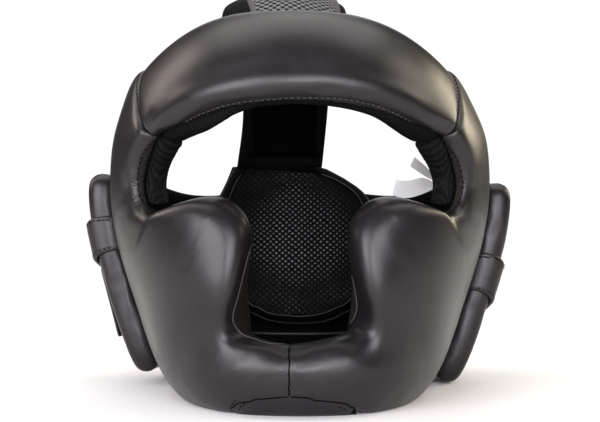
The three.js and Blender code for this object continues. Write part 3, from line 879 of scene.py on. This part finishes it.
def drawn_in(piece, line, middle, height, width):
    """Fills the corner of an opening: what looks at the opening's middle is drawn towards it.
    middle is its (x, z) in millimetres."""
    aim_x, aim_z = middle[0] * MM, middle[1] * MM

    def push(vertex, k):
        fade = math.sin(math.pi * (k + 0.5) / len(line)) ** 2
        way = Vector((aim_x - vertex.co.x, 0.0, aim_z - vertex.co.z)).normalized()
        return way * height * max(vertex.normal.dot(way), 0.0) * fade

    pushed(piece, line, width, push)


def lay_cloth(piece, place_of):
    """A UV map in millimetres, from a function of a vertex place."""
    uv = piece.data.uv_layers.new(name="cloth")
    for loop in piece.data.loops:
        uv.data[loop.index].uv = place_of(piece.data.vertices[loop.vertex_index].co)


def around_head(co):
    radius = 95.0
    return (math.atan2(co.x, -co.y) * radius, co.z / MM)


def flat_place(co):
    return (co.x / MM, co.z / MM)


def leather_facts(piece, lines=(), lining=None):
    carry_seams(piece, lines)
    carry(piece, "lining_side", lining or [OUTSIDE] * len(piece.data.vertices))


# Gives every face the near-black cloth: black material, darkened further as painted shade.
def blackened(piece):
    carry(piece, "inner_face", [1.0] * len(piece.data.vertices))
    return piece


def piece_named(name):
    return bpy.context.scene.collection.objects[name]


def laid_patch(name, rows, thick, finish):
    """A sheet laid on a net of (place, normal) pairs, with a small thickness."""
    last = None
    net = []
    for row in rows:
        line = []
        for spot in row:
            last = spot or last
            line.append(last)
        net.append(line)
    bm = bmesh.new()
    down, across = len(net), len(net[0])
    bmesh.ops.create_grid(bm, x_segments=across - 1, y_segments=down - 1, size=1.0)
    for vertex in bm.verts:
        i = round((vertex.co.x + 1) / 2 * (across - 1))
        k = round((vertex.co.y + 1) / 2 * (down - 1))
        place, normal = net[k][i]
        vertex.co = place + normal * thick * 0.5
    bmesh.ops.recalc_face_normals(bm, faces=bm.faces[:])
    piece = put_in_scene(name, bm, finish)
    wall = piece.modifiers.new("wall", "SOLIDIFY")
    wall.thickness = thick
    wall.offset = 0.0
    subdivided(piece)
    return piece


def strap_angle(co):
    return math.degrees(math.atan2(co.z - STRAP_MIDDLE.z, co.y - STRAP_MIDDLE.y))


def strap_span(angle, outside):
    """Reach across the crown strap of the mesh on one face, in millimetres."""
    middle, front_low, front_high = -9.5, -21.5, 22.5
    half = 22.0 + 6.0 * clamped((angle - 20.0) / 60.0)
    low, high = middle - half, middle + half
    if outside:
        share = clamped((angle - 80.0) / 58.0)
        low, high = low + (front_low - low) * share, high + (front_high - high) * share
    return low, high


def strap_spot(skin, x, angle, outside):
    a = math.radians(angle)
    out = Vector((0.0, math.cos(a), math.sin(a)))
    middle = Vector((x * MM, STRAP_MIDDLE.y, STRAP_MIDDLE.z))
    return skin.hit(middle + out * 0.3, -out) if outside else skin.hit(middle, out)


def rear_top(turn):
    """Height of the top edge of the rear panel."""
    away = abs(180 - turn)
    for (t0, z0), (t1, z1) in zip(REAR_TOP, REAR_TOP[1:]):
        if t1 <= 180 - away <= t0:
            return z1 + (z0 - z1) * (180 - away - t1) / (t0 - t1)
    return REAR_TOP[-1][1]


def band_edges(piece, side, middle):
    """Lines just inside both edges of a band, round the front of its ear pad and back along it."""
    skin = Skin(piece)
    pad_turn = 97.0
    turn = math.radians(pad_turn)
    out = Vector((side * math.sin(turn), -math.cos(turn), 0.0))
    back = Vector((side * math.cos(turn), math.sin(turn), 0.0))
    heights = [vertex.co.z for vertex in piece.data.vertices]
    steps = int((max(heights) - min(heights)) / SCAN_STEP)
    lower, upper = [], []
    first, turn_step, count, round_count, back_step = -40.0, 9.0, 30, 15, 2.2
    for k in range(count):
        bend = math.radians(min(first + k * turn_step, 90.0))
        way = out * math.sin(bend) - back * math.cos(bend)
        foot = out * middle * MM + back * max(k - round_count, 0) * back_step * MM
        spots = []
        for step in range(steps):
            start = foot + Vector((0.0, 0.0, min(heights) + step * SCAN_STEP))
            spot = skin.hit(start + way * 0.06, -way)
            if spot and (spot[0] - start).dot(way) > 2 * MM:
                spots.append(spot)
        if len(spots) > 12:
            lower.append(spots[4])
            upper.append(spots[-5])
    return lower, upper


def leather_pad(node, name, fill=None, **shape):
    """A leather piece that has no seam of its own."""
    pad = padded_copy(node, name, LEATHER, **shape)
    leather_facts(pad)
    settle(pad, [node])
    return pad


def settle(piece, nodes=()):
    """Says what a piece rides on and hides the solids that it stands for."""
    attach(piece, "root")
    if nodes:
        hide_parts(*nodes)


# The pieces.


class GUARD_OT_brow(bpy.types.Operator):
    """Brow pad with its lining"""

    bl_idname = "guard.brow"
    bl_label = "Brow pad"

    def execute(self, context):
        pad = padded_copy("brow_pad", "brow_cover", LEATHER, cap=1.6 * MM)
        ridged(pad, Skin(pad).seen_line(BROW_FOLD), 1.1 * MM, 5.0 * MM)
        edge = Skin(pad).seen_line(BROW_SEAM)
        leather_facts(pad, [(edge, 0.0)])
        settle(pad, ["brow_pad"])
        stitch_row("brow_stitches", edge, PALE)
        lining = padded_copy("brow_lining", "brow_lining_cover", "ribbed_lining")
        lay_cloth(lining, around_head)
        settle(lining, ["brow_lining"])
        return {"FINISHED"}


class GUARD_OT_sides(bpy.types.Operator):
    """Side shells with cheeks and half the chin bar, and the temple linings"""

    bl_idname = "guard.sides"
    bl_label = "Side shells"

    def execute(self, context):
        for label, side in SIDES:
            corner = Vector((side * 80.0, -62.0, 106.0)) * MM
            lip = Vector((side * 36.0, -104.0, 40.0)) * MM
            shell = padded_copy(
                f"side_shell_{label}",
                f"side_cover_{label}",
                LEATHER,
                cap=0.8 * MM,
                soft=[(corner, 22 * MM, 10), (lip, 16 * MM, 6)],
            )
            skin = Skin(shell)
            ridged(shell, skin.seen_line(CHIN_LIP[label]), 1.5 * MM, 5.0 * MM)
            ridged(shell, [skin.seen(*CHEEK_MIDDLE[label])], 1.9 * MM, 15.0 * MM)
            skin = Skin(shell)
            eye = skin.seen_line(EYE_SEAM[label])
            brow = skin.seen_line(BROW_SIDE_SEAM[label])
            inside = lining_side(shell, (EYE_SEAM[label], MOUTH_EDGE[label]), side)
            leather_facts(shell, [(eye, 1.0 if side < 0 else 0.4), (brow, 0.1)], inside)
            settle(shell, [f"side_shell_{label}"])
            stitch_row(f"eye_stitches_{label}", eye)
            stitch_row(f"side_stitches_{label}", brow)
            mouth = even_line(skin.seen_line(MOUTH_EDGE[label]), 1.5 * MM)
            settle(ribbon(f"mouth_piping_{label}", mouth, 0.8 * MM, 0.8 * MM, PALE))
            lining = padded_copy(
                f"side_lining_{label}", f"side_lining_cover_{label}", "ribbed_lining"
            )
            lay_cloth(lining, around_head)
            above = piece_named("brow_lining_cover")
            corner = Skin(lining, above).seen_line(EYE_CORNER[label])
            for part in (lining, above):
                drawn_in(part, corner, (side * 35.0, 132.0), CORNER_FILL[label], 15.0 * MM)
            settle(lining, [f"side_lining_{label}"])
        return {"FINISHED"}


class GUARD_OT_chin(bpy.types.Operator):
    """Centre seam of the chin bar and the gusset under it"""

    bl_idname = "guard.chin"
    bl_label = "Chin seam and gusset"

    def sew(self, name, skin, rows, inner, outer):
        """Closes a seam with a flush strip, a groove and stitches, from the skin on both sides.
        inner and outer are the strip's reach from the seam, in millimetres of the front view."""
        seam, net = [], []
        rows = [Vector(row) for row in smooth_rows(rows, SEAM_STEPS)]
        for i, row in enumerate(rows):
            along = (rows[min(i + 1, len(rows) - 1)] - rows[max(i - 1, 0)]).normalized()
            across = Vector((-along.y, along.x))
            deep = inner * (0.4 + 0.6 * math.sin(math.pi * i / (len(rows) - 1)))
            near, far = skin.seen(*(row - across * deep)), skin.seen(*(row + across * outer))
            if near and far and (near[0] - far[0]).length < 3 * (deep + outer) * MM:
                strip = []
                for k in range(STRIP_STEPS + 1):
                    share = k / STRIP_STEPS
                    normal = near[1].lerp(far[1], share).normalized()
                    rise = -(0.3 + 0.4 * (2 * share - 1) ** 2) * MM
                    strip.append((near[0].lerp(far[0], share) + normal * rise, normal))
                net.append(strip)
                place, normal = strip[round(STRIP_STEPS * deep / (deep + outer))]
                seam.append((place + normal * 0.6 * MM, normal))
        welt = laid_patch(f"{name}_welt", net, 0.6 * MM, LEATHER)
        leather_facts(welt)
        settle(welt)
        settle(blackened(ribbon(f"{name}_groove", seam, 0.9 * MM, 0.4 * MM, DARK)))
        stitch_row(f"{name}_stitches", seam)
        return welt

    def execute(self, context):
        covers = [piece_named(f"side_cover_{label}") for label, _ in SIDES]
        self.sew("chin", Skin(*covers), CHIN_SEAM, 5.0, 5.0)
        gusset = leather_pad(
            "chin_gusset", "chin_gusset_cover", 0.6, rounds=0, crease=1.0, reach=4 * MM
        )
        both = Skin(*covers, gusset)
        both = Skin(*covers, gusset, self.sew("gusset", both, GUSSET_EDGE, 9.0, 3.5))
        for number, rows in enumerate(GUSSET_SEAMS, 1):
            stitch_row(f"gusset_stitches_{number}", both.seen_line(rows))
        return {"FINISHED"}


class GUARD_OT_rear(bpy.types.Operator):
    """Rear panel and the mesh faced rear pad with its binding"""

    bl_idname = "guard.rear"
    bl_label = "Rear panel and pad"

    def execute(self, context):
        sizes = context.scene.guard_sizes
        panel = padded_copy("rear_panel", "rear_panel_cover", DARK)
        # Painted shade: the inner faces of the panel get the near-black cloth.
        inner = [1.0 if outward(v) < 0.1 else 0.0 for v in panel.data.vertices]
        carry(panel, "inner_face", inner)
        settle(panel, ["rear_panel"])
        skin = Skin(panel)
        height, rise = 23.5, 0.0012
        band = [skin.within(x * MM, (height + rise * x * x) * MM) for x in range(-48, 49, 4)]
        settle(ribbon("neck_band", found(band), 2.6 * MM, 1.6 * MM, DARK))
        turns = range(112, 250, 3)
        below_top, above_foot = 6.0, 7.0
        top = [skin.around(turn, (rear_top(turn) - below_top) * MM) for turn in turns]
        stitch_row("rear_hem_top", found(top), PALE)
        low = [skin.around(turn, above_foot * MM) for turn in turns]
        stitch_row("rear_hem_low", found(low), PALE)
        pad = padded_copy("rear_pad", "rear_pad_cover", "spacer_mesh")
        lay_cloth(pad, flat_place)
        settle(pad, ["rear_pad"])
        face = Skin(pad)
        inset = 1.8
        edge = [(left + inset, z) for z, left, _ in REAR_PAD_EDGE]
        edge += [(right - inset, z) for z, _, right in reversed(REAR_PAD_EDGE)]
        edge = [(x, z + 1.0 if z < 40 else z) for x, z in smooth_rows(edge, 5)]
        rim = even_line(found([face.within(x * MM, z * MM) for x, z in edge]), 2.5 * MM)
        for end, second in ((0, 3), (-1, -4)):
            place, normal = rim[end]
            ahead = (place - rim[second][0]).normalized()
            tip = (place + ahead * 9 * MM + Vector((0, 3 * MM, 0)), normal)
            rim.insert(0 if end == 0 else len(rim), tip)
        binding = ribbon("rear_pad_binding", rim, sizes.binding_width, 3.6 * MM, DARK)
        settle(blackened(binding))
        for number, side in ((1, -1), (2, 1)):
            line = []
            for k in range(2, len(rim) - 2):
                place, normal = rim[k]
                across = (rim[k + 1][0] - rim[k - 1][0]).normalized().cross(normal).normalized()
                away = across * side * (sizes.binding_width / 2 - 0.6 * MM)
                line.append((place + away + normal * 0.9 * MM, normal))
            piping = ribbon(f"rear_pad_piping_{number}", line, 0.7 * MM, 0.9 * MM, PALE)
            settle(piping)
        return {"FINISHED"}


class GUARD_OT_crown(bpy.types.Operator):
    """Crown strap: leather base, mesh on both faces and bound edges"""

    bl_idname = "guard.crown"
    bl_label = "Crown strap"

    def execute(self, context):
        strap = padded_copy("crown_strap", "crown_strap_base", DARK)
        # Painted shade: the whole strap base gets the near-black cloth.
        blackened(strap)
        settle(strap, ["crown_strap"])
        skin = Skin(strap)
        start, pitch = 138.0, 3.35
        for name, outside, count, finish, edging in (
            ("crown_mesh_top", True, 38, "open_mesh", "grey_tape"),
            ("crown_mesh_under", False, 41, "shaded_mesh", DARK),
        ):
            rows = []
            for k in range(count):
                angle = start - k * pitch
                low, high = strap_span(angle, outside)
                spots = []
                for i in range(PATCH_STEPS + 1):
                    x = low + (high - low) * i / PATCH_STEPS
                    spots.append(strap_spot(skin, x, angle, outside))
                rows.append(spots)
            patch = laid_patch(name, rows, 1.6 * MM, finish)
            lay_cloth(patch, lambda co: (co.x / MM, strap_angle(co) * 1.6))
            settle(patch)
            for number, column in ((1, 0), (2, PATCH_STEPS)):
                line = found([row[column] for row in rows])
                tape = ribbon(f"{name}_edge_{number}", line, 5.0 * MM, 3.0 * MM, edging)
                settle(tape if outside else blackened(tape))
        both = Skin(strap, piece_named("rear_pad_cover"))
        join = []
        for x in range(-40, 14, 3):
            upper, lower = strap_spot(both, x, 3.0, False), strap_spot(both, x, -2.5, False)
            if upper and lower:
                join.append((upper[0].lerp(lower[0], 0.5) + Vector((0, 2.2 * MM, 0)), upper[1]))
        settle(blackened(ribbon("crown_join", join, 9.0 * MM, 2.4 * MM, DARK)))
        return {"FINISHED"}


class GUARD_OT_ears(bpy.types.Operator):
    """Ear pads with their bands and the strap tail"""

    bl_idname = "guard.ears"
    bl_label = "Ear pads"

    def execute(self, context):
        for label, side in SIDES:
            leather_pad(f"ear_pad_{label}", f"ear_cover_{label}", 0.85, cap=1.0 * MM)
            band = padded_copy(
                f"side_strap_{label}", f"ear_band_{label}", LEATHER, rounds=0, reach=9 * MM
            )
            rows = []
            for number, line in enumerate(band_edges(band, side, BAND_MIDDLE[label]), 1):
                rows.append((line, 0.0))
                stitch_row(f"band_stitches_{label}_{number}", line)
            leather_facts(band, rows)
            settle(band, [f"side_strap_{label}"])
        leather_pad("strap_tail_left", "strap_tail", rounds=0, crease=0.9, reach=40 * MM)
        return {"FINISHED"}


class GUARD_OT_label(bpy.types.Operator):
    """Blank care label in the right eye corner, a ribbon folded at its root"""

    bl_idname = "guard.label"
    bl_label = "Care label"

    def execute(self, context):
        rows = []
        for low_x, low_z, high_x, high_z, depth in smooth_rows(LABEL_ROWS, 4):
            seen = (high_x - low_x) ** 2 + (high_z - low_z) ** 2
            turned = math.sqrt(max(LABEL_WIDTH**2 - seen, 0.0)) / 2
            low = Vector((low_x, depth - turned, low_z)) * MM
            high = Vector((high_x, depth + turned, high_z)) * MM
            rows.append([(low.lerp(high, i / 4), Vector((0, 0, 0))) for i in range(5)])
        label = laid_patch("care_label_ribbon", rows, 0.35 * MM, "label_ribbon")
        lay_cloth(label, flat_place)
        settle(label, ["care_label"])
        return {"FINISHED"}


class GUARD_OT_stage(bpy.types.Operator):
    """Pale floor, soft lights and the camera"""

    bl_idname = "guard.stage"
    bl_label = "Stage"

    def execute(self, context):
        bm = bmesh.new()
        bmesh.ops.create_grid(bm, x_segments=1, y_segments=1, size=5.0)
        put_in_scene("floor", bm, "floor")
        bm = bmesh.new()
        upright = Matrix.Translation((0, 2.2, 2.0)) @ Matrix.Rotation(math.radians(90), 4, "X")
        narrow = upright @ Matrix.Diagonal((0.30, 1.0, 1.0, 1.0))
        bmesh.ops.create_grid(bm, x_segments=1, y_segments=1, size=2.6, matrix=narrow)
        put_in_scene("backdrop", bm, "backdrop")
        world = bpy.data.worlds.new("studio")
        world.use_nodes = True
        nodes, links = world.node_tree.nodes, world.node_tree.links
        dim = nodes["Background"]
        dim.inputs["Color"].default_value = (0.94, 0.95, 1.0, 1.0)
        dim.inputs["Strength"].default_value = 0.05
        pale = nodes.new("ShaderNodeBackground")
        pale.inputs["Color"].default_value = (1.0, 1.0, 1.0, 1.0)
        looked_at = nodes.new("ShaderNodeLightPath")
        both = nodes.new("ShaderNodeMixShader")
        for number, socket in enumerate(
            (looked_at.outputs["Is Camera Ray"], dim.outputs[0], pale.outputs[0])
        ):
            links.new(socket, both.inputs[number])
        links.new(both.outputs[0], nodes["World Output"].inputs[0])
        context.scene.world = world
        cool = (0.97, 0.94, 1.0)
        lights = [
            ("left_panel", (-0.86, -1.23, 0.46), (1.1, 0.90), 31.0, cool),
            ("right_panel", (0.42, -1.44, 0.46), (1.0, 0.90), 23.0, cool),
            ("front", (0.0, -1.6, 0.26), (0.25, 0.25), 5.0, cool),
            ("top", (0.0, 0.1, 1.35), (1.8, 0.9), 17.0, (1.0, 0.97, 0.94)),
            ("right_card", (1.0, 0.62, 0.5), (0.35, 0.5), 6.0, (1.0, 0.86, 0.64)),
            ("left_card", (-1.15, 0.30, 0.82), (0.5, 0.8), 7.5, (1.0, 0.86, 0.78)),
            ("right_high_card", (1.2, 0.1, 0.9), (0.5, 0.6), 4.5, (1.0, 0.9, 0.76)),
        ]
        for name, place, reach, power, colour in lights:
            lamp = bpy.data.lights.new(name, "AREA")
            lamp.shape = "RECTANGLE"
            lamp.size, lamp.size_y = reach
            lamp.energy = power
            lamp.color = colour
            holder = bpy.data.objects.new(name, lamp)
            holder.location = place
            aim = Vector((0, 0, 0.12)) - Vector(place)
            holder.rotation_euler = aim.to_track_quat("-Z", "Y").to_euler()
            context.scene.collection.objects.link(holder)
        lens = bpy.data.cameras.new("camera")
        lens.sensor_fit = "HORIZONTAL"
        lens.sensor_width = 36.0
        lens.lens = 80.0
        photo_width = 600
        lens.shift_x = 1.0 / photo_width
        lens.shift_y = -11.0 / photo_width
        camera = bpy.data.objects.new("camera", lens)
        camera.location = EYE
        camera.rotation_euler = (math.radians(90), 0, 0)
        context.scene.collection.objects.link(camera)
        context.scene.camera = camera
        context.scene.view_settings.view_transform = "Standard"
        return {"FINISHED"}


class GUARD_PT_panel(bpy.types.Panel):
    """Lists the steps that dress the head guard"""

    bl_label = "Head guard"
    bl_idname = "GUARD_PT_panel"
    bl_space_type = "VIEW_3D"
    bl_region_type = "UI"
    bl_category = "Head guard"

    def draw(self, context):
        for group in (context.scene.guard_sizes, context.scene.guard_colours):
            for key in group.__annotations__:
                self.layout.prop(group, key)
        for step in STEPS:
            self.layout.operator(step.bl_idname)


STEPS = (
    GUARD_OT_stage,
    GUARD_OT_brow,
    GUARD_OT_sides,
    GUARD_OT_chin,
    GUARD_OT_rear,
    GUARD_OT_crown,
    GUARD_OT_ears,
    GUARD_OT_label,
)
CLASSES = (HeadGuardSizes, HeadGuardColours, *STEPS, GUARD_PT_panel)


def register():
    for kind in CLASSES:
        bpy.utils.register_class(kind)
    bpy.types.Scene.guard_sizes = PointerProperty(type=HeadGuardSizes)
    bpy.types.Scene.guard_colours = PointerProperty(type=HeadGuardColours)


def unregister():
    del bpy.types.Scene.guard_colours
    del bpy.types.Scene.guard_sizes
    for kind in reversed(CLASSES):
        bpy.utils.unregister_class(kind)


def main():
    register()
    bpy.ops.guard.stage()
    bpy.ops.guard.brow()
    bpy.ops.guard.sides()
    bpy.ops.guard.chin()
    bpy.ops.guard.rear()
    bpy.ops.guard.crown()
    bpy.ops.guard.ears()
    bpy.ops.guard.label()


if __name__ == "__main__":
    main()
